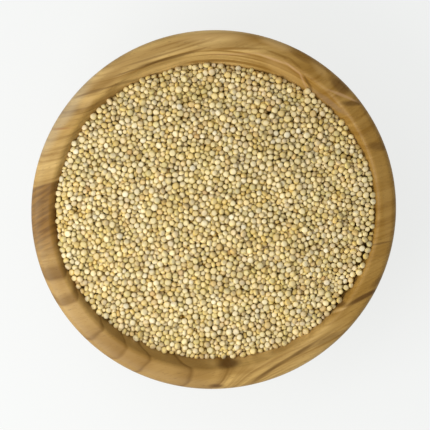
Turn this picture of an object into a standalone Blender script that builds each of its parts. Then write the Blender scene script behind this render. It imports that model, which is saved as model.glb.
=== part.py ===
"""A turned wooden bowl filled with a heap of quinoa, built at its real size.

Units are metres and +Z is up. The origin is the centre of the foot's flat underside, so the bowl stands on the plane
z = 0. -Y is the side of the bowl that lies at the bottom of a picture taken from straight above.
"""

import math
import random

import bmesh
import bpy
from mathutils import Vector
from mathutils.geometry import delaunay_2d_cdt
from mathutils.kdtree import KDTree

# The bowl as it was turned, before the wood shrank across its grain.
BOWL_RADIUS = 0.0705
BOWL_HEIGHT = 0.050
CAVITY_DEPTH = 0.040
CAVITY_SPHERE = 0.0691          # radius of the round hollow
INNER_ROUND = 0.0020            # radius of the rim's inner edge
OUTER_ROUND = 0.0028            # radius of the rim's outer edge
RIM_TOP_NORMAL = math.radians(78)   # the rim's top falls 12 degrees outwards
OUTER_WALL_RADIUS = 0.064       # radius of the arc down the outside
OUTER_WALL_START = math.radians(-17.2)
OUTER_WALL_END = math.radians(-72.3)
FOOT_RADIUS = 0.0282
FOOT_ROUND = 0.0007

# Wood shrinks more across its grain than along it, which leaves a turned bowl slightly oval.
GRAIN_ANGLE = math.radians(16)
OVAL = 0.981                    # width across the grain over length along it
BOWL_SIDES = 64

# The heap is a low dome that falls further to the front and back than to the sides.
HEAP_CROWN = 0.0515             # height of the heap's middle, a little over the rim
HEAP_FALL_SIDES = 0.0036        # how far it has fallen where it meets the wall at left and right
HEAP_REACH_SIDES = 0.0615
HEAP_FALL_FRONT = 0.0106        # and at the front and back
HEAP_REACH_FRONT = 0.0563

# Slow swells of a poured and shaken heap: their height, their lengths over tau and their phases.
SWELL_HEIGHT = 0.0004
SWELL_LENGTH_X = 0.0071
SWELL_LENGTH_Y = 0.0093
SWELL_PHASE_X = 1.3
SWELL_PHASE_Y = -0.4
SLANT_SWELL_LENGTH = 0.0117
SLANT_SWELL_SHARE = 0.6

# Quinoa is finer than its count of facets allows, so each bump stands for about one seed.
SEED_SPACING = 0.0021           # least distance between two bumps as they are strewn
MOST_MISSES = 3000              # tries without a free place before the heap counts as full
EVENING_ROUNDS = 3
SEED_RADIUS = 0.0011
EDGE_SEED_SPACING = 0.0025      # along the ring of seeds that lies against the wall
EDGE_SEED_SHIFT = 0.18          # how far such a seed strays along the wall, as a share of the spacing
EDGE_SEED_INSET = (0.9, 1.3)    # least and most, in seed radii, from the wall to its middle
INNER_SEED_INSET = 2.6          # the same for the outermost of the strewn seeds
EDGE_SCALLOP = 0.5              # how far the gap beside an edge seed draws back, in seed radii
SEED_RELIEF = 0.0011            # from the gap between seeds up to their tops
GAP_SINK = (0.45, 0.60)         # least and most share of the relief below the even surface
TOP_RISE = (0.35, 0.60)         # and above it
GAP_MERGE = 0.0005              # gaps closer than this are one gap
FIT_GAP = 0.0003                # clearance between heap and bowl
HALVINGS = 24
RANDOM_SEED = 7


def clear_scene():
    for obj in list(bpy.data.objects):
        bpy.data.objects.remove(obj, do_unlink=True)


def material(name, colour, roughness):
    made = bpy.data.materials.new(name)
    made.use_nodes = True
    shader = made.node_tree.nodes["Principled BSDF"]
    shader.inputs["Base Color"].default_value = (*colour, 1.0)
    shader.inputs["Roughness"].default_value = roughness
    shader.inputs["Metallic"].default_value = 0.0
    return made


def arc(centre, radius, start, end, count):
    """Points (r, z) on an arc, both ends included."""
    points = []
    for i in range(count):
        angle = start + (end - start) * i / (count - 1)
        points.append((centre[0] + radius * math.cos(angle), centre[1] + radius * math.sin(angle)))
    return points


def cavity_centre():
    """The hollow is part of a sphere, and this is the height of that sphere's centre."""
    return BOWL_HEIGHT - CAVITY_DEPTH + CAVITY_SPHERE


def inner_round_centre():
    z = BOWL_HEIGHT - INNER_ROUND
    rise = cavity_centre() - z
    return math.sqrt((CAVITY_SPHERE + INNER_ROUND) ** 2 - rise**2), z


def cavity_profile():
    """The hollow from the middle of its floor up to where the rim's inner edge begins."""
    x, z = inner_round_centre()
    end = math.atan2(z - cavity_centre(), x)
    return arc((0, cavity_centre()), CAVITY_SPHERE, math.radians(-90), end, 7)


def bowl_profile():
    """Half section (r, z): up the hollow, over the rim, down the outside and in under the foot."""
    inner = inner_round_centre()
    start = math.atan2(cavity_centre() - inner[1], -inner[0])
    inner_edge = arc(inner, INNER_ROUND, start, RIM_TOP_NORMAL, 4)

    normal = (math.cos(RIM_TOP_NORMAL), math.sin(RIM_TOP_NORMAL))
    outer_x = BOWL_RADIUS - OUTER_ROUND
    across = (outer_x + OUTER_ROUND * normal[0] - inner_edge[-1][0]) / normal[1]
    outer_z = inner_edge[-1][1] - across * normal[0] - OUTER_ROUND * normal[1]
    outer_edge = arc((outer_x, outer_z), OUTER_ROUND, RIM_TOP_NORMAL, OUTER_WALL_START, 5)

    top = outer_edge[-1]
    wall_centre = (
        top[0] - OUTER_WALL_RADIUS * math.cos(OUTER_WALL_START),
        top[1] - OUTER_WALL_RADIUS * math.sin(OUTER_WALL_START),
    )
    wall = arc(wall_centre, OUTER_WALL_RADIUS, OUTER_WALL_START, OUTER_WALL_END, 6)

    foot_top = (FOOT_RADIUS, wall[-1][1] - FOOT_ROUND)
    foot_edge = arc((FOOT_RADIUS - FOOT_ROUND, FOOT_ROUND), FOOT_ROUND, 0, math.radians(-90), 3)
    middle = [(0, 0)]
    return cavity_profile() + inner_edge[1:] + outer_edge + wall[1:] + [foot_top] + foot_edge + middle


def oval_reach(angle):
    """The bowl's radius in this direction, as a share of its radius along the grain."""
    along, across = math.cos(angle - GRAIN_ANGLE), math.sin(angle - GRAIN_ANGLE)
    return 1 / math.hypot(along, across / OVAL)


def make_bowl(collection, wood):
    mesh = bpy.data.meshes.new("wooden_bowl")
    profile = bowl_profile()
    mesh.from_pydata([(r, 0, z) for r, z in profile], [(i, i + 1) for i in range(len(profile) - 1)], [])
    bowl = bpy.data.objects.new("wooden_bowl", mesh)
    collection.objects.link(bowl)
    turn = bowl.modifiers.new("turned", "SCREW")
    turn.axis = "Z"
    turn.angle = math.tau
    turn.steps = turn.render_steps = BOWL_SIDES
    turn.use_merge_vertices = True
    turn.merge_threshold = 0.0001
    bowl.scale = (1, OVAL, 1)
    bowl.rotation_euler = (0, 0, GRAIN_ANGLE)
    mesh.materials.append(wood)
    return bowl


def heap_height(x, y):
    """The heap's even surface, midway between the tops of the seeds and the gaps between them."""
    fall = HEAP_FALL_SIDES * (x / HEAP_REACH_SIDES) ** 2 + HEAP_FALL_FRONT * (y / HEAP_REACH_FRONT) ** 2
    swell = math.sin(x / SWELL_LENGTH_X + SWELL_PHASE_X) * math.cos(y / SWELL_LENGTH_Y + SWELL_PHASE_Y)
    slant = math.sin((x - 2 * y) / SLANT_SWELL_LENGTH)
    return HEAP_CROWN - fall + SWELL_HEIGHT * (swell + SLANT_SWELL_SHARE * slant)


def wall_radius(z, angle):
    """How far out the heap may reach at this height, just clear of the bowl's flat facets."""
    profile = cavity_profile()
    turned = profile[-1][0]
    for (r0, z0), (r1, z1) in zip(profile, profile[1:]):
        if z0 <= z <= z1:
            turned = r0 + (r1 - r0) * (z - z0) / (z1 - z0)
    return turned * math.cos(math.pi / BOWL_SIDES) * oval_reach(angle) - FIT_GAP


def edge_reach(angle):
    """Where the heap's even surface meets the wall in this direction, found by halving."""
    near, far = HEAP_REACH_FRONT / 2, BOWL_RADIUS
    for _ in range(HALVINGS):
        middle = (near + far) / 2
        z = heap_height(middle * math.cos(angle), middle * math.sin(angle))
        if middle < wall_radius(z, angle):
            near = middle
        else:
            far = middle
    return near


def polar(radius, angle):
    return Vector((radius * math.cos(angle), radius * math.sin(angle)))


def place_seeds(draw):
    """Middles of the bumps: a ring of seeds along the wall comes first, and the rest are strewn inside it."""
    around = math.tau * (HEAP_REACH_SIDES + HEAP_REACH_FRONT) / 2
    ring_count = round(around / EDGE_SEED_SPACING)
    step = math.tau / ring_count
    ring = []
    outside = []
    for i in range(ring_count):
        angle = (i + draw.uniform(-EDGE_SEED_SHIFT, EDGE_SEED_SHIFT)) * step
        ring.append(polar(edge_reach(angle) - SEED_RADIUS * draw.uniform(*EDGE_SEED_INSET), angle))
        angle = (i + 0.5) * step
        outside.append(polar(edge_reach(angle) + SEED_RADIUS, angle))

    seeds = list(ring)
    cell = SEED_SPACING / math.sqrt(2)
    taken = {}
    for seed in seeds:
        taken.setdefault((int(seed.x // cell), int(seed.y // cell)), []).append(seed)
    misses = 0
    while misses < MOST_MISSES:
        angle = draw.uniform(0, math.tau)
        place = polar((edge_reach(angle) - INNER_SEED_INSET * SEED_RADIUS) * math.sqrt(draw.random()), angle)
        column, row = int(place.x // cell), int(place.y // cell)
        near = [
            other
            for i in range(column - 2, column + 3)
            for j in range(row - 2, row + 3)
            for other in taken.get((i, j), ())
        ]
        if any((other - place).length < SEED_SPACING for other in near):
            misses += 1
            continue
        misses = 0
        seeds.append(place)
        taken.setdefault((column, row), []).append(place)

    for _ in range(EVENING_ROUNDS):
        seeds = ring + even_out(seeds, outside)[ring_count:]
    return seeds, outside


def circumcentre(a, b, c):
    """The point as far from each of three seeds, where the gap between them is deepest."""
    twice = 2 * (a.x * (b.y - c.y) + b.x * (c.y - a.y) + c.x * (a.y - b.y))
    aa, bb, cc = a.length_squared, b.length_squared, c.length_squared
    x = (aa * (b.y - c.y) + bb * (c.y - a.y) + cc * (a.y - b.y)) / twice
    y = (aa * (c.x - b.x) + bb * (a.x - c.x) + cc * (b.x - a.x)) / twice
    return Vector((x, y))


def neighbours(seeds, outside):
    """Each three seeds that lie round one gap, and the middle of that gap."""
    everything = seeds + outside
    threes = [
        three
        for three in delaunay_2d_cdt(everything, [], [], 0, 0.00001)[2]
        if min(three) < len(seeds)
    ]
    return threes, [circumcentre(*(everything[i] for i in three)) for three in threes]


def even_out(seeds, outside):
    """Moves each seed to the middle of the gaps round it, so that seeds lie as if shaken down."""
    around = [[] for _ in seeds]
    for three, gap in zip(*neighbours(seeds, outside)):
        for i in three:
            if i < len(seeds):
                around[i].append(gap)
    return [sum(gaps, Vector((0, 0))) / len(gaps) for gaps in around]


def group_close(points, distance):
    """The number of the group that each point falls in, and the middle of each group."""
    tree = KDTree(len(points))
    for i, point in enumerate(points):
        tree.insert((point.x, point.y, 0), i)
    tree.balance()
    group_of = {}
    middles = []
    for i, point in enumerate(points):
        if i in group_of:
            continue
        members = [j for _, j, _ in tree.find_range((point.x, point.y, 0), distance) if j not in group_of]
        group_of.update((j, len(middles)) for j in members)
        middles.append(sum((points[j] for j in members), Vector((0, 0))) / len(members))
    return group_of, middles


def heap_surface(draw):
    """Corners and triangles of the bumpy top, one pyramid a seed, and the corners along its edge."""
    seeds, outside = place_seeds(draw)
    threes, gaps = neighbours(seeds, outside)
    on_edge = set()
    for k, (three, gap) in enumerate(zip(threes, gaps)):
        outer_corners = sum(i >= len(seeds) for i in three)
        if outer_corners:
            limit = edge_reach(math.atan2(gap.y, gap.x))
            gaps[k] = gap.normalized() * (limit - (EDGE_SCALLOP * SEED_RADIUS if outer_corners == 1 else 0))
            on_edge.add(k)
    group_of, places = group_close(gaps, GAP_MERGE)
    edge = sorted({group_of[k] for k in on_edge})

    corners = []
    for k, place in enumerate(places):
        z = heap_height(place.x, place.y) - SEED_RELIEF * draw.uniform(*GAP_SINK)
        if k in edge:
            angle = math.atan2(place.y, place.x)
            place = polar(min(place.length, wall_radius(z, angle)), angle)
        corners.append(Vector((*place, z)))
    for seed in seeds:
        corners.append(Vector((*seed, heap_height(*seed) + SEED_RELIEF * draw.uniform(*TOP_RISE))))

    beside = {}
    for k, three in enumerate(threes):
        for a, b in ((0, 1), (1, 2), (2, 0)):
            beside.setdefault(frozenset((three[a], three[b])), []).append(group_of[k])
    faces = [
        (len(places) + seed, *pair)
        for seed_pair, pair in beside.items()
        if len(pair) == 2 and pair[0] != pair[1]
        for seed in seed_pair
        if seed < len(seeds)
    ]
    return corners, faces, edge


def hidden_rings():
    """The heap's underside as rings of corners that follow the bowl's own facets, from high to low."""
    centre = Vector((0, 0, cavity_centre()))
    rings = []
    for r, z in reversed(cavity_profile()[1:-1]):
        ring = []
        for i in range(BOWL_SIDES):
            turned = math.tau * i / BOWL_SIDES
            along, across = r * math.cos(turned), OVAL * r * math.sin(turned)
            x = along * math.cos(GRAIN_ANGLE) - across * math.sin(GRAIN_ANGLE)
            y = along * math.sin(GRAIN_ANGLE) + across * math.cos(GRAIN_ANGLE)
            corner = Vector((x, y, z))
            ring.append(corner + (centre - corner).normalized() * FIT_GAP)
        rings.append(ring)
    return rings


def loft(mesh, upper, lower):
    """Triangles between two closed loops of unlike count, each step taking the corner that comes first."""
    def turn(vert):
        return math.atan2(vert.co.y, vert.co.x) % math.tau

    upper = sorted(upper, key=turn)
    lower = sorted(lower, key=turn)
    i = j = 0
    while i < len(upper) or j < len(lower):
        next_upper = turn(upper[i]) if i < len(upper) else math.inf
        next_lower = turn(lower[j]) if j < len(lower) else math.inf
        if next_upper < next_lower:
            mesh.faces.new((upper[i - 1], upper[i], lower[j - 1]))
            i += 1
        else:
            mesh.faces.new((upper[i - 1], lower[j], lower[j - 1]))
            j += 1


def make_heap(collection, quinoa):
    draw = random.Random(RANDOM_SEED)
    corners, faces, edge = heap_surface(draw)
    solid = bmesh.new()
    verts = [solid.verts.new(corner) for corner in corners]
    for face in faces:
        solid.faces.new([verts[i] for i in face])
    loop = [verts[i] for i in edge]
    for ring in hidden_rings():
        lower = [solid.verts.new(corner) for corner in ring]
        loft(solid, loop, lower)
        loop = lower
    bottom = solid.verts.new((0, 0, BOWL_HEIGHT - CAVITY_DEPTH + FIT_GAP))
    for i, vert in enumerate(loop):
        solid.faces.new((vert, loop[i - 1], bottom))
    bmesh.ops.recalc_face_normals(solid, faces=solid.faces)
    mesh = bpy.data.meshes.new("quinoa_heap")
    solid.to_mesh(mesh)
    solid.free()
    mesh.materials.append(quinoa)
    heap = bpy.data.objects.new("quinoa_heap", mesh)
    collection.objects.link(heap)
    return heap


def main():
    clear_scene()
    parts = bpy.data.collections.new("bowl_of_quinoa")
    bpy.context.scene.collection.children.link(parts)
    wood = material("oiled_wood", (0.36, 0.22, 0.09), 0.5)
    quinoa = material("quinoa_seed", (0.66, 0.52, 0.27), 0.6)
    make_bowl(parts, wood)
    make_heap(parts, quinoa)


main()
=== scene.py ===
"""Looks of a turned wooden bowl filled with a heap of dry quinoa.

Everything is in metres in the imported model's own frame: +Z is up, the bowl stands on z = 0, and -Y is the side of the
bowl that lies at the bottom of the picture, which is taken from straight above.
"""

import math

import bpy
import numpy as np
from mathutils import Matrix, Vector
from mathutils.kdtree import KDTree


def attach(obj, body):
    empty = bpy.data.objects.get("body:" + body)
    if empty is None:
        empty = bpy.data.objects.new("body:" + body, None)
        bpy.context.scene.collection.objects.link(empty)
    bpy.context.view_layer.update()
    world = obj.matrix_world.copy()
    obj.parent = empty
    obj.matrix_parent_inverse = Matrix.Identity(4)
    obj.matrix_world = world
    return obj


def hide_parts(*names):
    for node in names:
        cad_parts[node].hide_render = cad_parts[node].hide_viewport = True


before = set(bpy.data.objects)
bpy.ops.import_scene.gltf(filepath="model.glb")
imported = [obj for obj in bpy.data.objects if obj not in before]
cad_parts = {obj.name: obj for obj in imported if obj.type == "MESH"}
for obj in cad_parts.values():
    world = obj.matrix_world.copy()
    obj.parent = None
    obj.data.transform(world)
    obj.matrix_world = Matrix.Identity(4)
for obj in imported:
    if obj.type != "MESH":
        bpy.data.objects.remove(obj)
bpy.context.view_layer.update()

MM = 0.001

# Picture: the bowl's middle lies a little above and left of the picture's middle.
PIXEL = 0.38462 * MM
PICTURE_SIDE = 430
BOWL_IN_PICTURE = (213.66, 209.49)
CAMERA_RISE = 1.1               # above the rim
SENSOR_WIDTH = 36.0
FLOOR_SIDE = 6.0

# The bowl as it was turned, before the wood shrank across its grain.
BOWL_RADIUS = 70.5 * MM
BOWL_HEIGHT = 50 * MM
CAVITY_DEPTH = 40 * MM
CAVITY_SPHERE = 69.1 * MM
INNER_ROUND = 2.0 * MM
OUTER_ROUND = 2.8 * MM
RIM_TOP_NORMAL = math.radians(78)
OUTER_WALL_RADIUS = 64 * MM
OUTER_WALL_START = math.radians(-17.2)
OUTER_WALL_END = math.radians(-72.3)
FOOT_RADIUS = 28.2 * MM
FOOT_ROUND = 0.7 * MM
FOOT_CORNER = (0.2 * MM, 0.3 * MM)    # width and height of the eased corner between wall and foot
GRAIN_ANGLE = math.radians(16)
OVAL = 0.981
BOWL_SIDES = 240
LAST_HOLLOW_RING = 40           # of the rings of corners, counted from the middle of the hollow outwards
RIM_TOP_RINGS = 4               # rings over which the hollow's shift fades out
HAND_FINISH = 0.12 * MM         # how far sanding by hand has strayed from the turned form
HAND_FINISH_START = 0.6         # of the bowl's height

# Waves round the bowl that this stray is made of: how many, their start, their twist outwards and their share.
HAND_WAVES = ((2, 0.7, 0, 0.5), (3, 2.1, 0, 0.3), (5, 0, 90, 0.2))

# The heap is a low dome that falls further to the front and back than to the sides.
HEAP_CROWN = 51.5 * MM
HEAP_FALL_SIDES = 3.6 * MM
HEAP_REACH_SIDES = 61.5 * MM
HEAP_FALL_FRONT = 10.6 * MM
HEAP_REACH_FRONT = 56.3 * MM
SWELL_HEIGHT = 0.4 * MM
SWELL_LENGTH_X = 7.1 * MM
SWELL_LENGTH_Y = 9.3 * MM
SWELL_PHASE_X = 1.3
SWELL_PHASE_Y = -0.4
SLANT_SWELL_LENGTH = 11.7 * MM
SLANT_SWELL_SHARE = 0.6
HEAP_TILT = 1.0 * MM            # how much higher the heap is at the front than without its tilt
BANK_START = 0.78               # of the heap's reach

# How far the seeds pile up against the wall: degrees from the right end towards the back, and height in millimetres.
BANKS = (
    (0, 2.8), (30, 1.4), (60, -0.8), (75, 0.3), (90, 0.8), (120, 1.1), (150, 1.9), (165, 1.2), (180, 0.2),
    (195, 2.0), (210, 1.8), (225, 2.6), (240, 0.9), (255, 2.3), (270, 1.1), (300, 2.7), (330, 2.9), (345, 3.1),
)
HOLLOW_SHIFT = 0.45 * MM        # how far the hollow lies to the right of the outside's middle

# The core that the loose seeds lie on.
CORE_SIDES = 180
CORE_TOP_RINGS = 46
CORE_UNDER_RINGS = 12
CORE_INSET = 1.2 * MM           # of its edge from the heap's
CORE_GAP = 0.35 * MM            # between it and the hollow
CORE_EDGE_DROP = 0.5 * MM       # how much deeper it lies at the edge than in the middle
CORE_BUMP = 0.22 * MM
CORE_BUMP_LENGTH_X = 0.36 * MM
CORE_BUMP_LENGTH_Y = 0.39 * MM
CORE_BUMP_SLANT = 2.1 * MM

# Seeds are flat round lenses with a germ that runs round the edge like the rim of a wheel.
SEED_COUNT = 8400
SEED_RADIUS = 1.11 * MM
SEED_SPREAD = 0.12              # of the radius
SEED_SIZES = (0.72, 1.26)       # smallest and largest, of the radius
SEED_FLATNESS = 0.68            # thickness over width
SEED_FLATNESS_SPREAD = 0.06
SEED_FLATNESSES = (0.52, 0.84)  # flattest and fullest
AXIS_SPREAD = (0.6, 0.6, 1.0)   # x, y and z of the seeds' short axes, so that more of them lie flat than on edge
SEED_ROOM = 1.05                # how much more room a seed takes while it settles than it fills

# Depths below the heap's surface, and where its uppermost seeds are looked for.
LOOSE_LAYER = 3.4 * MM          # down to which loose seeds are settled
SHOWN_LAYER = 2.45 * MM         # down to which they are shown, and where the core begins
SHADED_LAYER = 3.4 * MM         # from the uppermost seeds down to where the painted shade on the seeds is darkest and brownest
TOPS_REACH = 3.0 * MM           # how far round each seed
TOPS_PERCENTILE = 80

# How the seeds are strewn and settled.
STREWN_LAYER = 1.6              # of the loose layer's depth, over which they are strewn
STREWN_EDGE = 0.97              # of the heap's reach, for seeds that are strewn above the rim
SETTLE_STEPS = 150
STEPS_A_SEARCH = 7              # steps until the seeds' neighbours are looked for again
PASSES_A_STEP = 3
NEIGHBOUR_REACH = 2.3           # of the largest half width
FIRST_SINK = 0.12 * MM          # how far a seed sinks in the first step of settling
LAST_SINK = 0.01 * MM
LIE_DOWN = 0.015                # how far a seed turns its flat side up in each step
PUSH_APART = 0.32               # of an overlap, how far each of two seeds gives way
TURN_FLAT = 0.5                 # how far two seeds turn to each other for a millimetre of overlap
SEAT_ON_FLOOR = 0.8             # least height of a seed's middle over the layer's floor, of its half thickness
SEAT_AT_WALL = 0.72             # least distance of a seed's middle from the hollow, of its half width
RANDOM_SEED = 11

# Rings of a seed from its upper middle to its lower one: share of its half width, share of its half thickness, and
# how much of the germ shows there.
SEED_RINGS = (
    (0.50, 0.93, 0.0),
    (0.74, 0.76, 0.35),
    (0.92, 0.55, 1.0),
    (1.00, 0.00, 1.0),
    (0.92, -0.55, 1.0),
    (0.74, -0.76, 0.35),
    (0.50, -0.93, 0.0),
)
SEED_SIDES = 10

# How unlike each other the seeds are, as shares of their half width or half thickness.
SEED_OVAL = 0.07                # at most
SEED_CORNERS = 0.03             # at most
SEED_BEAK = 0.13                # at most, where the germ's tip stands out
SEED_BEAK_WIDTH = 0.45          # radians
UPPER_DOMES = (0.88, 1.08)      # flattest and fullest
LOWER_DOMES = (0.80, 1.08)
DIMPLES = (0.90, 1.02)          # height of a dome's middle, of the dome
SEED_SKEW = 0.05


# Form of the bowl and the heap

def arc(centre, radius, start, end, count):
    """Points (r, z) on an arc, both ends included."""
    points = []
    for i in range(count):
        angle = start + (end - start) * i / (count - 1)
        points.append((centre[0] + radius * math.cos(angle), centre[1] + radius * math.sin(angle)))
    return points


def cavity_centre():
    return BOWL_HEIGHT - CAVITY_DEPTH + CAVITY_SPHERE


def bowl_profile():
    """Half section (r, z): up the hollow, over the rim, down the outside and in under the foot."""
    middle = cavity_centre()
    inner_z = BOWL_HEIGHT - INNER_ROUND
    inner_x = math.sqrt((CAVITY_SPHERE + INNER_ROUND) ** 2 - (middle - inner_z) ** 2)
    cavity_end = math.atan2(inner_z - middle, inner_x)
    cavity = arc((0, middle), CAVITY_SPHERE, math.radians(-90), cavity_end, count=34)
    inner_edge = arc((inner_x, inner_z), INNER_ROUND, cavity_end + math.pi, RIM_TOP_NORMAL, count=9)

    normal = (math.cos(RIM_TOP_NORMAL), math.sin(RIM_TOP_NORMAL))
    outer_x = BOWL_RADIUS - OUTER_ROUND
    across = (outer_x + OUTER_ROUND * normal[0] - inner_edge[-1][0]) / normal[1]
    outer_z = inner_edge[-1][1] - across * normal[0] - OUTER_ROUND * normal[1]
    outer_edge = arc((outer_x, outer_z), OUTER_ROUND, RIM_TOP_NORMAL, OUTER_WALL_START, count=12)
    start = inner_edge[-1]
    end = outer_edge[0]
    rim_top = [(start[0] + (end[0] - start[0]) * k / 4, start[1] + (end[1] - start[1]) * k / 4) for k in (1, 2, 3)]

    top = outer_edge[-1]
    wall_centre = (
        top[0] - OUTER_WALL_RADIUS * math.cos(OUTER_WALL_START),
        top[1] - OUTER_WALL_RADIUS * math.sin(OUTER_WALL_START),
    )
    wall = arc(wall_centre, OUTER_WALL_RADIUS, OUTER_WALL_START, OUTER_WALL_END, count=30)
    wall_end = wall[-1][1]
    foot_top = [(FOOT_RADIUS + FOOT_CORNER[0], wall_end), (FOOT_RADIUS, wall_end - FOOT_CORNER[1])]
    foot_edge = arc((FOOT_RADIUS - FOOT_ROUND, FOOT_ROUND), FOOT_ROUND, 0, math.radians(-90), count=6)
    under = [(FOOT_RADIUS * share, 0) for share in (0.9, 0.7, 0.4)]
    return cavity + inner_edge[1:] + rim_top + outer_edge + wall[1:-1] + foot_top + foot_edge + under + [(0, 0)]


def heap_height(x, y):
    """Height of the heap's even surface."""
    fall = HEAP_FALL_SIDES * (x / HEAP_REACH_SIDES) ** 2 + HEAP_FALL_FRONT * (y / HEAP_REACH_FRONT) ** 2
    swell = np.sin(x / SWELL_LENGTH_X + SWELL_PHASE_X) * np.cos(y / SWELL_LENGTH_Y + SWELL_PHASE_Y)
    slant = np.sin((x - 2 * y) / SLANT_SWELL_LENGTH)
    near_wall = np.clip(np.hypot(x / HEAP_REACH_SIDES, y / HEAP_REACH_FRONT) / BANK_START - 1, 0, 1 / BANK_START - 1)
    directions, heights = zip(*BANKS)
    bank = MM * np.interp(np.degrees(np.arctan2(y, x)), directions, heights, period=360)
    bank *= (near_wall / (1 / BANK_START - 1)) ** 2
    tilt = -HEAP_TILT * y / HEAP_REACH_FRONT
    return HEAP_CROWN - fall + tilt + bank + SWELL_HEIGHT * (swell + SLANT_SWELL_SHARE * slant)


def to_round(places):
    """Places as seen from the middle of the hollow's sphere, before the wood shrank."""
    cos, sin = math.cos(GRAIN_ANGLE), math.sin(GRAIN_ANGLE)
    x, y = places[:, 0] - HOLLOW_SHIFT, places[:, 1]
    return np.column_stack([cos * x + sin * y, (cos * y - sin * x) / OVAL, places[:, 2] - cavity_centre()])


def from_round(places):
    cos, sin = math.cos(GRAIN_ANGLE), math.sin(GRAIN_ANGLE)
    along, across = places[:, 0], places[:, 1] * OVAL
    x, y = cos * along - sin * across + HOLLOW_SHIFT, sin * along + cos * across
    return np.column_stack([x, y, places[:, 2] + cavity_centre()])


# Meshes

def mesh_piece(name, corners, faces, material, point_values=None):
    """A smooth piece from arrays. point_values holds one number a corner for each attribute name."""
    mesh = bpy.data.meshes.new(name)
    sides = faces.shape[1]
    mesh.vertices.add(len(corners))
    mesh.vertices.foreach_set("co", corners.astype(np.float32).ravel())
    mesh.loops.add(faces.size)
    mesh.loops.foreach_set("vertex_index", faces.astype(np.int32).ravel())
    mesh.polygons.add(len(faces))
    mesh.polygons.foreach_set("loop_start", np.arange(0, faces.size, sides, dtype=np.int32))
    mesh.polygons.foreach_set("use_smooth", np.ones(len(faces), dtype=bool))
    mesh.update(calc_edges=True)
    mesh.validate()
    for key, values in (point_values or {}).items():
        made = mesh.attributes.new(key, "FLOAT", "POINT")
        made.data.foreach_set("value", values.astype(np.float32).ravel())
    mesh.materials.append(material)
    piece = bpy.data.objects.new(name, mesh)
    bpy.context.scene.collection.objects.link(piece)
    return piece


def ring_faces(rings, sides, first=0):
    """Triangles between rings of corners that lie one after the other, each ring with this many sides."""
    faces = []
    for ring in range(rings - 1):
        for k in range(sides):
            a = first + ring * sides + k
            b = first + ring * sides + (k + 1) % sides
            faces += [(a, b, b + sides), (a, b + sides, a + sides)]
    return faces


def closed_faces(rings, sides):
    """Triangles of a closed body: its rings of corners, then a point before the first and one after the last."""
    faces = ring_faces(rings, sides)
    start, end = rings * sides, rings * sides + 1
    last = (rings - 1) * sides
    for k in range(sides):
        after = (k + 1) % sides
        faces.append((start, after, k))
        faces.append((end, last + k, last + after))
    return np.array(faces)


def turned(profile, sides):
    """Corners and triangles of a turned form whose profile starts and ends on the axis."""
    angles = np.arange(sides) * math.tau / sides
    r = np.array([p[0] for p in profile[1:-1]])
    z = np.array([p[1] for p in profile[1:-1]])
    x = r[:, None] * np.cos(angles)
    y = r[:, None] * np.sin(angles)
    rings = np.stack([x, y, np.repeat(z[:, None], sides, axis=1)], axis=2).reshape(-1, 3)
    corners = np.vstack([rings, [(0, 0, profile[0][1])], [(0, 0, profile[-1][1])]])
    return corners, closed_faces(len(r), sides)


def outside_share(count):
    """For each corner of the bowl, 0 in the hollow and 1 on the outside, with a slope over the top of the rim."""
    slope = (LAST_HOLLOW_RING, LAST_HOLLOW_RING + RIM_TOP_RINGS)
    by_ring = np.interp(np.arange((count - 2) // BOWL_SIDES), slope, (0, 1))
    return np.concatenate([np.repeat(by_ring, BOWL_SIDES), [0, 1]])


def make_bowl(wood):
    corners, faces = turned(bowl_profile(), BOWL_SIDES)
    angle = np.arctan2(corners[:, 1], corners[:, 0])
    reach = np.hypot(corners[:, 0], corners[:, 1])
    stray = sum(share * np.sin(waves * angle + start + twist * reach) for waves, start, twist, share in HAND_WAVES)
    start = HAND_FINISH_START * BOWL_HEIGHT
    by_rim = np.clip((corners[:, 2] - start) / (BOWL_HEIGHT - start), 0, 1)
    corners[:, 2] += HAND_FINISH * stray * by_rim
    corners = from_round(corners - [0, 0, cavity_centre()])
    corners[:, 0] -= HOLLOW_SHIFT * outside_share(len(corners))
    return mesh_piece("turned_bowl", corners, faces[:, ::-1], wood)


def make_core(quinoa):
    """What the loose seeds lie on: a domed body that fills the hollow, bumpy where it may be seen."""
    angles = np.arange(CORE_SIDES) * math.tau / CORE_SIDES
    limit = CAVITY_SPHERE - CORE_GAP
    rows = []
    for k in range(1, CORE_TOP_RINGS + 1):
        share = k / CORE_TOP_RINGS
        x = share * (HEAP_REACH_SIDES - CORE_INSET) * np.cos(angles)
        y = share * (HEAP_REACH_FRONT - CORE_INSET) * np.sin(angles)
        z = heap_height(x, y) - SHOWN_LAYER - CORE_EDGE_DROP * share**8
        z += CORE_BUMP * np.sin(x / CORE_BUMP_LENGTH_X) * np.sin(y / CORE_BUMP_LENGTH_Y + x / CORE_BUMP_SLANT)
        seen = to_round(np.column_stack([x, y, z]))
        seen *= np.minimum(1, limit / np.linalg.norm(seen, axis=1))[:, None]
        rows.append(from_round(seen))

    edge = to_round(rows[-1])
    edge_polar = np.arccos(np.clip(-edge[:, 2] / np.linalg.norm(edge, axis=1), -1, 1))
    turn = np.arctan2(edge[:, 1], edge[:, 0])
    for k in range(1, CORE_UNDER_RINGS):
        polar = edge_polar * (1 - k / CORE_UNDER_RINGS)
        under = np.column_stack([
            limit * np.sin(polar) * np.cos(turn),
            limit * np.sin(polar) * np.sin(turn),
            -limit * np.cos(polar),
        ])
        rows.append(from_round(under))

    top = (0, 0, float(heap_height(0.0, 0.0)) - SHOWN_LAYER)
    bottom = (0, 0, BOWL_HEIGHT - CAVITY_DEPTH + CORE_GAP)
    corners = np.vstack(rows + [top, bottom])
    return mesh_piece("heap_core", corners, closed_faces(len(rows), CORE_SIDES)[:, ::-1], quinoa)


# Settling the seeds

def tree_of(places):
    """A tree that finds the places near a point."""
    tree = KDTree(len(places))
    for i, place in enumerate(places):
        tree.insert(place, i)
    tree.balance()
    return tree


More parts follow.
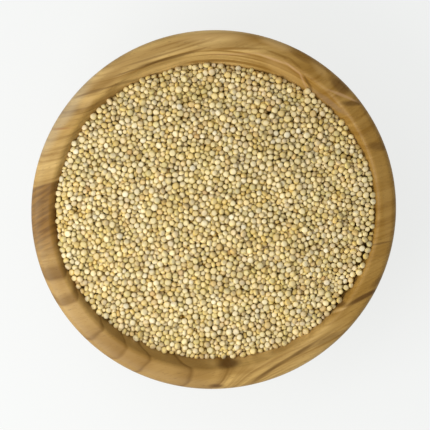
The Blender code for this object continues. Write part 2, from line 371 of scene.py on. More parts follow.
class Seeds:
    """Loose seeds: places of their middles, their short axes, half widths and half thicknesses."""

    def __init__(self, rng):
        self.count = SEED_COUNT
        size = np.clip(rng.normal(1, SEED_SPREAD, self.count), *SEED_SIZES)
        self.wide = SEED_ROOM * SEED_RADIUS * size
        flatness = np.clip(rng.normal(SEED_FLATNESS, SEED_FLATNESS_SPREAD, self.count), *SEED_FLATNESSES)
        self.thick = self.wide * flatness
        self.place = self.strew(rng)
        axis = rng.normal(0, 1, (self.count, 3)) * AXIS_SPREAD
        self.axis = axis / np.linalg.norm(axis, axis=1)[:, None]

    def strew(self, rng):
        """Random places in a loose layer over the core, inside the hollow."""
        found = []
        missing = self.count
        while missing > 0:
            x = rng.uniform(-HEAP_REACH_SIDES, HEAP_REACH_SIDES, 2 * missing)
            y = rng.uniform(-HEAP_REACH_FRONT, HEAP_REACH_FRONT, 2 * missing)
            z = heap_height(x, y) - LOOSE_LAYER + rng.uniform(0, STREWN_LAYER * LOOSE_LAYER, 2 * missing)
            places = np.column_stack([x, y, z])
            inside = np.linalg.norm(to_round(places), axis=1) < CAVITY_SPHERE - SEED_RADIUS
            above = np.hypot(x / HEAP_REACH_SIDES, y / HEAP_REACH_FRONT) < STREWN_EDGE
            chosen = places[np.where(z < BOWL_HEIGHT - INNER_ROUND, inside, above)][:missing]
            found.append(chosen)
            missing -= len(chosen)
        return np.vstack(found)

    def near_pairs(self, reach):
        places = self.place.tolist()
        tree = tree_of(places)
        first, second = [], []
        for i, place in enumerate(places):
            for _, j, _ in tree.find_range(place, reach):
                if j > i:
                    first.append(i)
                    second.append(j)
        return np.array(first), np.array(second)

    def add_to(self, values, index, change):
        for k in range(3):
            values[:, k] += np.bincount(index, change[:, k], self.count)

    def part(self, first, second):
        """Pushes overlapping seeds apart and turns their flat sides towards each other."""
        gap = self.place[second] - self.place[first]
        distance = np.linalg.norm(gap, axis=1) + 1e-9
        towards = gap / distance[:, None]
        tilt_a = (towards * self.axis[first]).sum(1)
        tilt_b = (towards * self.axis[second]).sum(1)
        reach_a = 1 / np.sqrt((tilt_a / self.thick[first]) ** 2 + (1 - tilt_a**2) / self.wide[first] ** 2)
        reach_b = 1 / np.sqrt((tilt_b / self.thick[second]) ** 2 + (1 - tilt_b**2) / self.wide[second] ** 2)
        overlap = np.maximum(reach_a + reach_b - distance, 0)
        push = towards * (PUSH_APART * overlap)[:, None]
        self.add_to(self.place, second, push)
        self.add_to(self.place, first, -push)
        turn = towards * (TURN_FLAT * overlap / MM)[:, None]
        self.add_to(self.axis, first, turn * tilt_a[:, None])
        self.add_to(self.axis, second, turn * tilt_b[:, None])
        self.axis /= np.linalg.norm(self.axis, axis=1)[:, None]

    def hold(self):
        """Keeps the seeds above the floor of their layer and inside the hollow."""
        floor = heap_height(self.place[:, 0], self.place[:, 1]) - LOOSE_LAYER
        self.place[:, 2] = np.maximum(self.place[:, 2], floor + SEAT_ON_FLOOR * self.thick)
        seen = to_round(self.place)
        limit = CAVITY_SPHERE - SEAT_AT_WALL * self.wide
        seen *= np.minimum(1, limit / np.linalg.norm(seen, axis=1))[:, None]
        self.place = from_round(seen)

    def settle(self, steps):
        """Lets the seeds sink until they lie on each other."""
        for step in range(steps):
            if step % STEPS_A_SEARCH == 0:
                first, second = self.near_pairs(NEIGHBOUR_REACH * self.wide.max())
            self.place[:, 2] -= LAST_SINK + FIRST_SINK * (1 - step / steps)
            self.axis[:, 2] += np.where(self.axis[:, 2] < 0, -LIE_DOWN, LIE_DOWN)
            for _ in range(PASSES_A_STEP):
                self.part(first, second)
                self.hold()

    def depth(self):
        """How deep each seed's middle lies below the heap's even surface."""
        return heap_height(self.place[:, 0], self.place[:, 1]) - self.place[:, 2]

    def tops_nearby(self, reach):
        """How far the uppermost seeds round each seed stand over the heap's even surface."""
        over = self.thick - self.depth()
        flat = (self.place * (1, 1, 0)).tolist()
        tree = tree_of(flat)
        tops = []
        for place in flat:
            near = [over[i] for _, i, _ in tree.find_range(place, reach)]
            tops.append(np.percentile(near, TOPS_PERCENTILE))
        return np.array(tops)


def seed_shapes(rng, wide, thick):
    """Corners of unlike seeds round their own middles, with their short axes upright, and the germ at each corner."""
    count = len(wide)
    around = np.arange(SEED_SIDES) * math.tau / SEED_SIDES
    oval = rng.uniform(0, SEED_OVAL, (count, 1)) * np.cos(2 * (around + rng.uniform(0, math.tau, (count, 1))))
    bends = rng.uniform(0, SEED_CORNERS, (count, 1)) * np.cos(3 * (around + rng.uniform(0, math.tau, (count, 1))))
    beak = rng.uniform(0.0, SEED_BEAK, (count, 1)) * np.exp(-((around - math.pi) / SEED_BEAK_WIDTH) ** 2)
    outline = 1 + oval + bends + beak

    radii = np.array([ring[0] for ring in SEED_RINGS])
    heights = np.array([ring[1] for ring in SEED_RINGS])
    x = outline[:, None, :] * radii[:, None] * np.cos(around)
    y = outline[:, None, :] * radii[:, None] * np.sin(around)
    dome_up = rng.uniform(*UPPER_DOMES, (count, 1, 1))
    dome_down = rng.uniform(*LOWER_DOMES, (count, 1, 1))
    z = heights[:, None] * np.where(heights[:, None] > 0, dome_up, dome_down) * np.ones_like(x)
    z += rng.normal(0, SEED_SKEW, (count, 1, 1)) * x + rng.normal(0, SEED_SKEW, (count, 1, 1)) * y
    z *= thick[:, None, None]
    x *= wide[:, None, None]
    y *= wide[:, None, None]
    rings = np.stack([x, y, z], axis=3).reshape(count, -1, 3)
    dimple = rng.uniform(*DIMPLES, count)
    upper = np.column_stack([np.zeros(count), np.zeros(count), thick * dome_up[:, 0, 0] * dimple])
    lower = np.column_stack([np.zeros(count), np.zeros(count), -thick * dome_down[:, 0, 0] * dimple])
    corners = np.concatenate([rings, upper[:, None], lower[:, None]], axis=1)
    germ = np.concatenate([np.repeat([ring[2] for ring in SEED_RINGS], SEED_SIDES), [0, 0]])
    return corners, germ


def stand_up(axis, spin):
    """Turns that bring +Z onto each axis after a spin about it."""
    helper = np.where(np.abs(axis[:, 2:3]) < 0.9, [[0.0, 0.0, 1.0]], [[1.0, 0.0, 0.0]])
    side = np.cross(helper, axis)
    side /= np.linalg.norm(side, axis=1)[:, None]
    front = np.cross(axis, side)
    cos, sin = np.cos(spin)[:, None], np.sin(spin)[:, None]
    return np.stack([cos * side + sin * front, cos * front - sin * side, axis], axis=2)


def make_seeds(kinds):
    """One piece for each kind of seed."""
    rng = np.random.default_rng(RANDOM_SEED)
    seeds = Seeds(rng)
    seeds.settle(SETTLE_STEPS)
    shown = seeds.depth() < SHOWN_LAYER
    place, axis = seeds.place[shown], seeds.axis[shown]
    wide, thick = seeds.wide[shown] / SEED_ROOM, seeds.thick[shown] / SEED_ROOM
    count = len(place)
    shapes, germ = seed_shapes(rng, wide, thick)
    turns = stand_up(axis, rng.uniform(0, math.tau, count))
    corners = np.einsum("nij,nkj->nki", turns, shapes) + place[:, None]
    tone = rng.uniform(0, 1, count)
    blush = rng.uniform(0, 1, count)
    # How far each corner lies under the uppermost seeds nearby, which sets the painted shade between the seeds.
    tops = heap_height(corners[..., 0], corners[..., 1]) + seeds.tops_nearby(TOPS_REACH)[shown][:, None]
    deep = np.clip((tops - corners[..., 2]) / SHADED_LAYER, 0, 1)

    shares = np.array([kind["share"] for kind in kinds])
    kind_of = rng.choice(len(kinds), count, p=shares / shares.sum())
    faces = closed_faces(len(SEED_RINGS), SEED_SIDES)[:, (0, 2, 1)]
    each = corners.shape[1]
    pieces = []
    for k, kind in enumerate(kinds):
        mine = np.flatnonzero(kind_of == k)
        all_faces = (faces[None] + (np.arange(len(mine)) * each)[:, None, None]).reshape(-1, 3)
        values = {
            "germ": np.tile(germ, len(mine)),
            "tone": np.repeat(tone[mine], each),
            "blush": np.repeat(blush[mine], each),
            "deep": deep[mine],
        }
        all_corners = corners[mine].reshape(-1, 3)
        pieces.append(mesh_piece("seeds_" + kind["name"], all_corners, all_faces, kind["material"], values))
    return pieces


# Materials

def new_material(name):
    made = bpy.data.materials.new(name)
    made.use_nodes = True
    return made, made.node_tree, made.node_tree.nodes["Principled BSDF"]


class Nodes:
    """Short names for the nodes that the materials are built from."""

    def __init__(self, tree):
        self.tree = tree

    def add(self, kind, inputs=None, **settings):
        node = self.tree.nodes.new(kind)
        for key, value in settings.items():
            setattr(node, key, value)
        for key, value in (inputs or {}).items():
            self.feed(node.inputs[key], value)
        return node

    def feed(self, socket, value):
        if isinstance(value, bpy.types.NodeSocket):
            self.tree.links.new(value, socket)
        else:
            socket.default_value = value

    def math(self, operation, a, b=0.0, c=0.0):
        return self.add("ShaderNodeMath", {0: a, 1: b, 2: c}, operation=operation).outputs[0]

    def own_place(self):
        """Places in the piece's own frame, in metres."""
        return self.add("ShaderNodeTexCoord").outputs["Object"]

    def attribute(self, name):
        return self.add("ShaderNodeAttribute", attribute_name=name).outputs["Fac"]

    def ramp(self, value, stops, smooth=True):
        """The colour that belongs to a value, from stops of a position and a colour."""
        node = self.add("ShaderNodeValToRGB", {0: value})
        ramp = node.color_ramp
        ramp.interpolation = "EASE" if smooth else "LINEAR"
        ramp.elements[0].position, ramp.elements[0].color = stops[0]
        ramp.elements[1].position, ramp.elements[1].color = stops[-1]
        for position, tint in stops[1:-1]:
            ramp.elements.new(position).color = tint
        return node.outputs["Color"]

    def step(self, value, low, high, start=0.0, end=1.0):
        """Goes smoothly from start to end as value goes from low to high."""
        node = self.add("ShaderNodeMapRange", {0: value, 1: low, 2: high, 3: start, 4: end})
        node.interpolation_type = "SMOOTHSTEP"
        return node.outputs[0]

    def between(self, value, low, low_full, high_full, high):
        """A mask that is 1 from low_full to high_full and 0 below low and above high."""
        return self.math("MULTIPLY", self.step(value, low, low_full), self.step(value, high, high_full))

    def mix(self, factor, a, b, blend="MIX"):
        """A colour between two colours. The node has its colour sockets at 6 and 7, behind those for other types."""
        node = self.add("ShaderNodeMix", data_type="RGBA", blend_type=blend)
        self.feed(node.inputs[0], factor)
        self.feed(node.inputs[6], a)
        self.feed(node.inputs[7], b)
        return node.outputs[2]

    def mix_values(self, factor, a, b):
        return self.add("ShaderNodeMix", {0: factor, 2: a, 3: b}).outputs[0]

    def noise(self, place, scale, detail):
        return self.add("ShaderNodeTexNoise", {"Vector": place, "Scale": scale, "Detail": detail}).outputs[0]

    def stretch(self, place, factors):
        return self.add("ShaderNodeVectorMath", {0: place, 1: factors}, operation="MULTIPLY").outputs[0]

    def length(self, vector):
        return self.add("ShaderNodeVectorMath", {0: vector}, operation="LENGTH").outputs["Value"]

    def relief(self, shader, height, strength, distance):
        bump = self.add("ShaderNodeBump", {"Height": height, "Strength": strength, "Distance": distance})
        self.feed(shader.inputs["Normal"], bump.outputs[0])


def colour(red, green, blue):
    """Linear colour, wholly opaque, from its 0 to 255 values on a screen."""
    def linear(value):
        value /= 255
        return value / 12.92 if value <= 0.04045 else ((value + 0.055) / 1.055) ** 2.4

    return (linear(red), linear(green), linear(blue), 1)


BLUSH_SKIN = colour(214, 180, 134)
CHALK_SKIN = colour(236, 227, 204)
SHADE_BETWEEN_SEEDS = (0.55, 0.35, 0.05, 1)   # painted shade: what is left of the light that reaches the lower seeds
TONE_SPREAD = 0.08                      # between the darkest and the lightest seed of a kind


def seed_skin_group():
    """Colour, roughness and relief of a seed's skin: pale face, yellower germ and mottling, a tone for each seed,
    yellower patches of many seeds, painted shade in lighter and darker patches of many seeds, and painted shade
    that makes the seeds further down in the heap darker and browner."""
    group = bpy.data.node_groups.new("seed_skin", "ShaderNodeTree")
    sockets = group.interface
    sockets.new_socket("Face", in_out="INPUT", socket_type="NodeSocketColor")
    sockets.new_socket("Germ", in_out="INPUT", socket_type="NodeSocketColor")
    sockets.new_socket("Tone spread", in_out="INPUT", socket_type="NodeSocketFloat")
    sockets.new_socket("Color", in_out="OUTPUT", socket_type="NodeSocketColor")
    sockets.new_socket("Roughness", in_out="OUTPUT", socket_type="NodeSocketFloat")
    sockets.new_socket("Height", in_out="OUTPUT", socket_type="NodeSocketFloat")
    n = Nodes(group)
    given = n.add("NodeGroupInput").outputs
    place = n.own_place()
    germ = n.attribute("germ")
    tone = n.attribute("tone")
    blush = n.attribute("blush")
    deep = n.attribute("deep")
    mottle = n.noise(place, scale=1400, detail=3.0)
    grit = n.noise(place, scale=6500, detail=2.0)
    drift = n.noise(place, scale=165, detail=2.0)
    # Patches a few seeds wide, painted lighter and darker as the shade of the heap's uneven packing.
    shade_patches = n.noise(place, scale=210, detail=2.0)

    # Face and germ, with more of the germ's colour where the heap is yellower, and a few warm or chalky seeds.
    band = n.math("MULTIPLY", germ, n.step(mottle, 0.25, 0.6, start=0.36, end=0.74))
    base = n.mix(band, given["Face"], given["Germ"])
    base = n.mix(n.step(drift, 0.38, 0.64, end=0.50), base, given["Germ"])
    base = n.mix(n.step(blush, 0.88, 1.0, end=0.15), base, BLUSH_SKIN)
    base = n.mix(n.step(blush, 0.10, 0.0, end=0.20), base, CHALK_SKIN)

    # Brightness: each seed's own, its mottling, and painted shade in the patch it lies in.
    darkest = n.math("SUBTRACT", 1.0, n.math("MULTIPLY", given["Tone spread"], 0.5))
    shade = n.math("MULTIPLY_ADD", tone, given["Tone spread"], darkest)
    shade = n.math("MULTIPLY", shade, n.step(mottle, 0.35, 0.7, start=0.92, end=1.01))
    shade = n.math("MULTIPLY", shade, n.step(shade_patches, 0.32, 0.68, start=0.87, end=1.15))
    tinted = n.add("ShaderNodeVectorMath", {0: base, 3: shade}, operation="SCALE").outputs[0]

    # Painted shade: further down the seeds are darker and browner, and sooner so where the patch is painted dark.
    sunken = n.math("MULTIPLY_ADD", shade_patches, -0.9, deep)
    lower = n.mix(n.step(sunken, -0.23, 0.23), tinted, SHADE_BETWEEN_SEEDS, blend="MULTIPLY")

    out = n.add("NodeGroupOutput").inputs
    n.feed(out["Color"], lower)
    n.feed(out["Roughness"], n.step(grit, 0.3, 0.7, start=0.50, end=0.70))
    n.feed(out["Height"], n.math("ADD", n.math("MULTIPLY", grit, 0.4), mottle))
    return group


def seed_material(name, skin, face, germ):
    made, tree, shader = new_material("quinoa_" + name)
    n = Nodes(tree)
    given = {"Face": face, "Germ": germ, "Tone spread": TONE_SPREAD}
    seed = n.add("ShaderNodeGroup", given, node_tree=skin).outputs
    n.feed(shader.inputs["Base Color"], seed["Color"])
    n.feed(shader.inputs["Roughness"], seed["Roughness"])
    n.feed(shader.inputs["Specular IOR Level"], 0.14)
    n.relief(shader, seed["Height"], strength=0.35, distance=0.05 * MM)
    return made


# Kinds of seeds: name, share of all seeds, colour of the face and colour of the germ.
SEED_KINDS = (
    ("cream", 0.20, colour(226, 211, 172), colour(216, 193, 122)),
    ("straw", 0.20, colour(224, 207, 163), colour(212, 187, 108)),
    ("ivory", 0.15, colour(228, 215, 179), colour(219, 199, 134)),
    ("golden", 0.13, colour(220, 199, 149), colour(206, 176, 90)),
    ("wheat", 0.12, colour(220, 206, 162), colour(207, 186, 108)),
    ("buff", 0.10, colour(222, 204, 166), colour(209, 182, 116)),
    ("chalky", 0.05, colour(230, 220, 191), colour(221, 204, 152)),
    ("tan", 0.03, colour(214, 191, 143), colour(198, 165, 92)),
    ("brown", 0.003, colour(200, 170, 118), colour(178, 141, 80)),
)


def core_material():
    made, tree, shader = new_material("quinoa_depth_shade")
    n = Nodes(tree)
    patch = n.noise(n.own_place(), scale=700, detail=2.0)
    # Dark browns: painted shade of the deeper seeds, which show only in the gaps between the loose ones.
    base = n.ramp(patch, ((0.35, colour(104, 76, 20)), (0.65, colour(176, 138, 58))))
    n.feed(shader.inputs["Base Color"], base)
    n.feed(shader.inputs["Roughness"], 0.8)
    n.relief(shader, patch, strength=0.8, distance=0.3 * MM)
    return made


FIGURE_HEIGHT = 47 * MM         # of the middles of knots, streaks and patches
MARK_HALF_HEIGHT = 14 * MM

# Growth rings along the grain.
RING_SLOPE = 0.45               # how far they shift across the grain with height
SLOW_BEND = 9 * MM
FINE_BEND = 2.0 * MM
FRONT_LEAN = -0.21              # how far they turn from the grain at the front

# Growth rings that cross the rim at the front left.
CROSSING_LEAN = 18.0            # radians to the left for each metre down the wall
CROSSING_RAGGED = 0.10          # radians
# Painted shade: the wood at the front left is darkened by this much, standing in for less light on the rim there.
FRONT_LEFT_PAINTED_SHADE = (0.72, 0.68, 0.62, 1)


# Knots: place, size of the stretch whose rings bend round them, and how far they bend.
KNOTS = (
    (39.0 * MM, 46.0 * MM, 17 * MM, 15 * MM),
    (0.0, -67.3 * MM, 9 * MM, 7 * MM),
)

# Where rings cross the rim at the front left: degrees from the left end, and how dark the wood is there.
CROSSINGS = (
    (17.5, 0.0), (21.0, 0.7), (24.4, 1.0), (25.2, 0.0), (29.0, 0.0), (30.8, 0.8), (32.6, 0.9), (33.4, 0.0),
    (43.0, 0.12), (46.0, 0.4), (47.2, 1.0), (48.1, 0.15), (54.0, 0.3), (56.6, 0.5), (57.6, 1.0), (58.5, 0.0),
    (64.0, 0.05), (65.7, 0.35), (66.8, 1.0), (67.7, 0.1), (76.0, 0.2), (80.5, 0.5), (81.8, 1.0), (83.0, 0.2),
    (90.0, 0.35),
)
CROSSINGS_SPAN = 96.0           # degrees

DARK_WOOD = colour(90, 60, 22)
ROSY_WOOD = colour(190, 152, 112)
DUSTY_WOOD = colour(146, 124, 104)
RUST_WOOD = colour(150, 104, 58)
PALE_WOOD = colour(216, 182, 122)
# The next two colours are painted sheen on the rim, not the wood's own.
WHITE_SHEEN = colour(216, 196, 164)
GREY_SHEEN = colour(178, 168, 144)
UMBER_WOOD = colour(122, 86, 26)

# Streaks and patches: x, y of the middle, degrees of direction, half length, half width, strength and colour.
# Lengths are in millimetres.
MARKS = (
    # The first patch, grey at the upper left of the rim, is painted sheen.
    (-58.0, 37.0, 56, 26.0, 5.0, 0.34, GREY_SHEEN),
    (0.0, 67.0, 0, 20.0, 4.0, 0.35, PALE_WOOD),
    (67.0, -2.0, 92, 18.0, 2.2, 0.07, PALE_WOOD),
    (24.0, 64.0, -20, 10.0, 2.6, 0.45, PALE_WOOD),
    (41.0, 54.0, -52, 6.0, 2.5, 0.20, PALE_WOOD),
    (-49.0, 41.0, 45, 5.0, 2.5, 0.30, PALE_WOOD),
    (27.0, 53.0, -34, 10.0, 3.0, 0.20, PALE_WOOD),
    (15.5, 58.0, -15, 12.0, 2.0, 0.08, PALE_WOOD),
    (-39.4, 46.4, 38, 4.5, 1.8, 0.35, UMBER_WOOD),
    (-32.0, 54.5, 30, 15.0, 2.6, 0.30, UMBER_WOOD),
    (-42.0, 49.2, 38, 11.0, 3.2, 0.50, UMBER_WOOD),
    (-61.0, -12.0, 100, 22.0, 2.6, 0.25, UMBER_WOOD),
    (-33.0, -56.0, -30, 16.0, 6.0, 0.50, UMBER_WOOD),
    (-1.0, -63.0, 0, 14.0, 3.5, 0.30, UMBER_WOOD),
    (9.5, -62.0, 8, 7.0, 2.2, 0.50, UMBER_WOOD),
    (31.0, -54.0, 28, 12.0, 4.5, 0.16, UMBER_WOOD),
    (48.0, -41.0, 38, 7.0, 2.4, 0.35, UMBER_WOOD),
    # Painted shade: this streak darkens the wall at the front right, along the heap's edge.
    (42.8, -42.4, 44, 9.0, 1.6, 0.35, UMBER_WOOD),
    (43.5, 43.0, -44, 8.0, 2.5, 0.45, UMBER_WOOD),
    (62.0, 8.0, 97, 12.0, 2.0, 0.30, UMBER_WOOD),
    (57.0, -34.0, 28, 9.0, 1.1, 0.90, DARK_WOOD),
    # This dark patch is partly a mark in the wood and partly painted shadow of the gap at the heap's edge.
    (48.3, -36.5, 10, 3.4, 1.5, 0.85, DARK_WOOD),
    (48.1, -38.8, 20, 4.0, 0.7, 0.40, PALE_WOOD),
    (19.5, -63.5, 36, 9.0, 1.0, 0.50, DARK_WOOD),
    (31.5, -55.7, 32, 25.0, 0.7, 0.55, DARK_WOOD),
    (34.5, -54.2, 28, 6.0, 1.1, 0.40, DARK_WOOD),
    (44.0, -49.8, 29, 8.0, 1.4, 0.50, DARK_WOOD),
    (63.0, -27.6, 45, 4.5, 1.2, 0.45, DARK_WOOD),
    (64.4, -13.0, 12, 4.5, 0.45, 0.55, DARK_WOOD),
    (5.6, -58.8, 0, 6.0, 3.4, 0.92, DARK_WOOD),
    (0.9, -67.9, 0, 4.5, 1.3, 0.90, DARK_WOOD),
    (47.6, 48.4, -42, 6.5, 2.4, 0.70, DARK_WOOD),
    (53.0, 40.9, 2, 5.5, 1.5, 0.70, DARK_WOOD),
    (63.3, 24.4, -4, 5.5, 2.2, 0.50, DARK_WOOD),
    (39.2, 55.6, -45, 5.5, 2.0, 0.15, DARK_WOOD),
    (33.0, 58.8, -32, 5.5, 1.1, 0.40, DARK_WOOD),
    (36.4, 48.9, -57, 4.5, 0.6, 0.70, DARK_WOOD),
    (10.0, 61.9, 0, 14.0, 0.8, 0.70, UMBER_WOOD),
    (24.5, 59.8, -21, 7.0, 0.6, 0.60, UMBER_WOOD),
    (31.6, 56.0, -43, 5.0, 0.6, 0.50, UMBER_WOOD),
    (7.5, 59.9, 0, 13.0, 0.5, 0.35, ROSY_WOOD),
    (22.0, 58.1, -20, 8.0, 0.5, 0.45, ROSY_WOOD),
    (30.8, 54.1, -38, 6.0, 0.5, 0.50, ROSY_WOOD),
    (34.5, 49.7, -63, 5.0, 0.5, 0.50, ROSY_WOOD),
    (44.8, 41.1, -36, 12.0, 1.2, 0.34, DUSTY_WOOD),
    (50.5, 43.5, -22, 8.0, 0.7, 0.50, ROSY_WOOD),
    (-58.2, 31.1, 3, 6.5, 0.7, 0.60, RUST_WOOD),
    (-47.9, 44.9, 18, 7.5, 0.6, 0.55, DARK_WOOD),
    (-15.5, 58.7, 15, 16.0, 0.6, 0.60, DARK_WOOD),
    (-30.6, 53.8, 19, 12.0, 0.5, 0.55, DARK_WOOD),
    (-38.8, 47.6, 20, 10.0, 0.45, 0.50, DARK_WOOD),
    (-24.0, 58.2, 17, 15.0, 0.45, 0.40, DARK_WOOD),
    (-28.0, 50.8, 18, 13.0, 0.45, 0.40, DARK_WOOD),
)


class WoodNodes(Nodes):
    """Nodes of the wood, with the places and the noise that several parts of its figure share."""

    def __init__(self, tree):
        super().__init__(tree)
        self.place = self.own_place()
        x, y, _ = self.add("ShaderNodeSeparateXYZ", {0: self.place}).outputs
        self.from_left = self.math("ARCTAN2", self.math("MULTIPLY", y, -1), self.math("MULTIPLY", x, -1))
        turn = {"Vector": self.place, "Angle": -GRAIN_ANGLE}
        self.in_grain = self.add("ShaderNodeVectorRotate", turn, rotation_type="Z_AXIS").outputs[0]
        self.along, self.across, self.up = self.add("ShaderNodeSeparateXYZ", {0: self.in_grain}).outputs
        self.fine = self.grain_noise(0.15, scale=120, detail=2.0)

    def grain_noise(self, squeeze, scale, detail):
        """Noise whose spots are longer along the grain, the more so the smaller squeeze is."""
        return self.noise(self.stretch(self.in_grain, (squeeze, 1.0, 1.0)), scale, detail)

    def sector(self, *degrees):
        """A mask for a part of the bowl, as in between, by degrees from the left end towards the front."""
        return self.between(self.from_left, *(math.radians(angle) for angle in degrees))


def growth_rings(w):
    """A height in metres whose level lines the growth rings follow: bent, leaning at the front, round the knots."""
    slow = w.grain_noise(0.35, scale=26, detail=2.0)
    rings = w.math("MULTIPLY_ADD", w.up, RING_SLOPE, w.across)
    rings = w.math("MULTIPLY_ADD", w.math("SUBTRACT", slow, 0.5), SLOW_BEND, rings)
    rings = w.math("MULTIPLY_ADD", w.math("SUBTRACT", w.fine, 0.5), FINE_BEND, rings)
    at_front = w.step(w.across, -18 * MM, -45 * MM)
    rings = w.math("MULTIPLY_ADD", w.math("MULTIPLY", w.along, at_front), FRONT_LEAN, rings)
    for x, y, size, rise in KNOTS:
        knot = {0: w.place, 1: (x, y, FIGURE_HEIGHT)}
        away = w.add("ShaderNodeVectorMath", knot, operation="DISTANCE").outputs["Value"]
        bulge = w.math("EXPONENT", w.math("MULTIPLY", w.math("MULTIPLY", away, away), -1 / size**2))
        rings = w.math("MULTIPLY_ADD", bulge, rise, rings)
    return rings


def straight_figure(w):
    """Rings of uneven width, seen as broad bands and thin lines."""
    along = w.math("MULTIPLY", w.along, 0.03)
    rings = w.add("ShaderNodeCombineXYZ", {0: along, 1: growth_rings(w)}).outputs[0]
    broad = w.step(w.noise(rings, scale=210, detail=1.0), 0.36, 0.66)
    thin = w.step(w.noise(rings, scale=760, detail=1.5), 0.42, 0.68)
    return w.math("MULTIPLY_ADD", thin, 0.5, w.math("MULTIPLY", broad, 0.6))


def crossing_figure(w):
    """Rings that cross the rim. They lean, so on the wall of the hollow they run on to the left."""
    drop = w.math("SUBTRACT", BOWL_HEIGHT, w.up)
    leaning = w.math("MULTIPLY_ADD", drop, CROSSING_LEAN, w.from_left)
    leaning = w.math("MULTIPLY_ADD", w.math("SUBTRACT", w.fine, 0.5), CROSSING_RAGGED, leaning)
    stops = [(degrees / CROSSINGS_SPAN, (dark, dark, dark, 1)) for degrees, dark in CROSSINGS]
    return w.ramp(w.math("DIVIDE", leaning, math.radians(CROSSINGS_SPAN)), stops, smooth=False)


def level_figure(w):
    """Rings that run round the wall of the hollow, where it cuts them level."""
    level = w.add("ShaderNodeCombineXYZ", {0: w.math("MULTIPLY", w.from_left, 0.002), 1: w.up}).outputs[0]
    return w.step(w.noise(level, scale=620, detail=1.0), 0.38, 0.64)


def wood_figure(w, at_front_left):
    """The growth rings, as a value from 0 between them to 1 in them."""
    figure = w.mix_values(at_front_left, straight_figure(w), crossing_figure(w))
    at_back_right = w.sector(-134, -126, -84, -72)
    below_rim = w.step(w.up, 49.5 * MM, 49.0 * MM)
    return w.mix_values(w.math("MULTIPLY", at_back_right, below_rim), figure, level_figure(w))


def ring_colour(w, figure, at_front_left):
    """Honey between the rings, brown in them, all of it darker towards the right, and painted shade at the front left.
    """
    patch = w.grain_noise(0.5, scale=38, detail=2.0)
    pale = w.ramp(patch, ((0.3, colour(184, 148, 82)), (0.7, colour(205, 172, 108))))
    brown = w.ramp(patch, ((0.3, colour(116, 82, 30)), (0.7, colour(140, 104, 45))))
    base = w.mix(w.math("MULTIPLY", figure, 0.85), pale, brown)
    # Painted shade: darker at the front left.
    base = w.mix(at_front_left, base, FRONT_LEFT_PAINTED_SHADE, blend="MULTIPLY")
    return w.mix(w.step(w.along, 14 * MM, 50 * MM, end=0.60), base, colour(142, 102, 30))


def red_banded(w, base):
    """Adds a redder, darker band at the left end, streaked at a slant."""
    at_left = w.math("MULTIPLY", w.step(w.along, -44 * MM, -50 * MM),
                     w.between(w.across, -9 * MM, 10 * MM, 26.8 * MM, 27.8 * MM))
    turn = {"Vector": w.place, "Rotation": (0, 0, math.radians(32)), "Scale": (8, 1, 4)}
    slant = w.add("ShaderNodeMapping", turn, vector_type="TEXTURE").outputs[0]
    red = w.mix(w.step(w.noise(slant, scale=900, detail=2.0), 0.36, 0.66), colour(131, 93, 38), colour(100, 67, 24))
    return w.mix(w.math("MULTIPLY", at_left, 0.9), base, red)


def marked(w, base):
    """Adds the streaks and patches, with ragged edges."""
    for x, y, direction, half_length, half_width, strength, tone in MARKS:
        fitted = w.add("ShaderNodeMapping", {
            "Vector": w.place,
            "Location": (x * MM, y * MM, FIGURE_HEIGHT),
            "Rotation": (0, 0, math.radians(direction)),
            "Scale": (half_length * MM, half_width * MM, MARK_HALF_HEIGHT),
        }, vector_type="TEXTURE").outputs[0]
        away = w.math("ADD", w.fine, w.length(fitted))
        base = w.mix(w.step(away, 1.6, 0.85, end=strength), base, tone)
    return base


def painted_sheen(w, base):
    """Paints a sheen on the outer edge of the rim, paler towards the left."""
    reach = w.length(w.stretch(w.in_grain, (1, 1 / OVAL, 0)))
    # Painted sheen: whiter at the rim's outer edge towards the left.
    sheen = w.math("MULTIPLY", w.step(reach, 65.5 * MM, 69.0 * MM), w.step(w.along, 5 * MM, -35 * MM, end=0.07))
    return w.mix(sheen, base, WHITE_SHEEN)


def wood_material():
    """Oiled wood whose growth rings run along the grain, bend round knots and cross the rim at the front left."""
    made, tree, shader = new_material("oiled_wood_figure")
    w = WoodNodes(tree)
    at_front_left = w.sector(16, 22, 84, 92)
    figure = wood_figure(w, at_front_left)
    fibre = w.grain_noise(0.05, scale=1500, detail=3.0)
    pores = w.step(w.grain_noise(0.12, scale=3200, detail=1.0), 0.66, 0.74)

    base = red_banded(w, ring_colour(w, figure, at_front_left))
    base = w.mix(w.step(fibre, 0.42, 0.72, end=0.16), base, colour(96, 64, 30))
    base = w.mix(w.math("MULTIPLY", pores, 0.4), base, colour(74, 48, 22))
    w.feed(shader.inputs["Base Color"], painted_sheen(w, marked(w, base)))
    w.feed(shader.inputs["Roughness"], w.step(figure, 0.0, 1.0, start=0.42, end=0.52))
    w.feed(shader.inputs["Specular IOR Level"], 0.18)

    height = w.math("ADD", w.math("MULTIPLY", fibre, 0.5), w.math("MULTIPLY", pores, -0.6))
    height = w.math("ADD", height, w.math("MULTIPLY", figure, -0.25))
    w.relief(shader, height, strength=0.3, distance=0.08 * MM)
    return made


# Floor, lights and camera

def make_stage():
    """A pale floor that glows a little, so that it stays nearly white round the bowl."""
    made, tree, shader = new_material("pale_floor")
    n = Nodes(tree)
    n.feed(shader.inputs["Base Color"], (0.13, 0.13, 0.13, 1))
    n.feed(shader.inputs["Roughness"], 0.9)
    n.feed(shader.inputs["Specular IOR Level"], 0.1)
    n.feed(shader.inputs["Emission Color"], (0.985, 1.0, 0.993, 1))
    n.feed(shader.inputs["Emission Strength"], 0.78)
    half = FLOOR_SIDE / 2
    corners = np.array([(-half, -half, 0), (half, -half, 0), (half, half, 0), (-half, half, 0)])
    floor = mesh_piece("floor", corners, np.array([(0, 1, 2, 3)]), made)


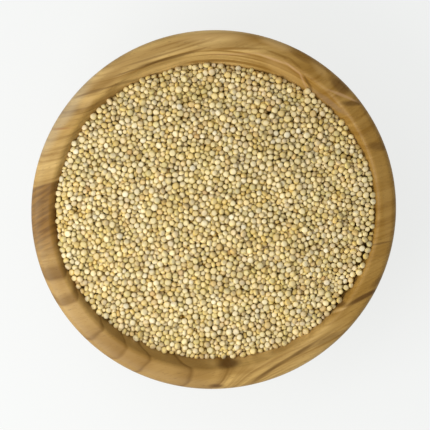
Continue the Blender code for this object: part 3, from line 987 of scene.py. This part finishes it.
def area_light(name, azimuth, elevation, distance, size, power, tint):
    """A square light that shines at the bowl from a direction in degrees."""
    light = bpy.data.lights.new(name, "AREA")
    light.shape = "SQUARE"
    light.size = size
    light.energy = power
    light.color = tint
    lamp = bpy.data.objects.new(name, light)
    bpy.context.scene.collection.objects.link(lamp)
    flat = distance * math.cos(math.radians(elevation))
    turn = math.radians(azimuth)
    lamp.location = (flat * math.cos(turn), flat * math.sin(turn), distance * math.sin(math.radians(elevation)))
    towards = Vector((0, 0, BOWL_HEIGHT)) - lamp.location
    lamp.rotation_euler = towards.to_track_quat("-Z", "Y").to_euler()


def make_lights():
    world = bpy.data.worlds.new("soft_sky")
    world.use_nodes = True
    sky = world.node_tree.nodes["Background"]
    sky.inputs["Color"].default_value = (1.0, 0.985, 0.95, 1)
    sky.inputs["Strength"].default_value = 0.42
    bpy.context.scene.world = world
    area_light("window", azimuth=213, elevation=49, distance=0.46, size=0.32, power=1.80, tint=(1.0, 0.99, 0.97))
    area_light("high_window", azimuth=142, elevation=64, distance=0.75, size=0.45, power=1.12, tint=(0.98, 0.99, 1.0))


def make_camera():
    middle = PICTURE_SIDE / 2
    camera = bpy.data.cameras.new("camera")
    camera.sensor_width = SENSOR_WIDTH
    camera.lens = SENSOR_WIDTH * CAMERA_RISE / (PICTURE_SIDE * PIXEL)
    camera.clip_end = 20
    holder = bpy.data.objects.new("camera", camera)
    bpy.context.scene.collection.objects.link(holder)
    holder.location = (
        (middle - BOWL_IN_PICTURE[0]) * PIXEL,
        (BOWL_IN_PICTURE[1] - middle) * PIXEL,
        BOWL_HEIGHT + CAMERA_RISE,
    )
    bpy.context.scene.camera = holder
    bpy.context.scene.view_settings.view_transform = "Standard"


def main():
    make_camera()
    make_lights()
    make_stage()

    bowl = make_bowl(wood_material())
    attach(bowl, "root")
    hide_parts("wooden_bowl")

    skin = seed_skin_group()
    kinds = [
        {"name": name, "share": share, "material": seed_material(name, skin, face, germ)}
        for name, share, face, germ in SEED_KINDS
    ]
    for piece in [make_core(core_material())] + make_seeds(kinds):
        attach(piece, "root")
        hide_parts("quinoa_heap")


main()
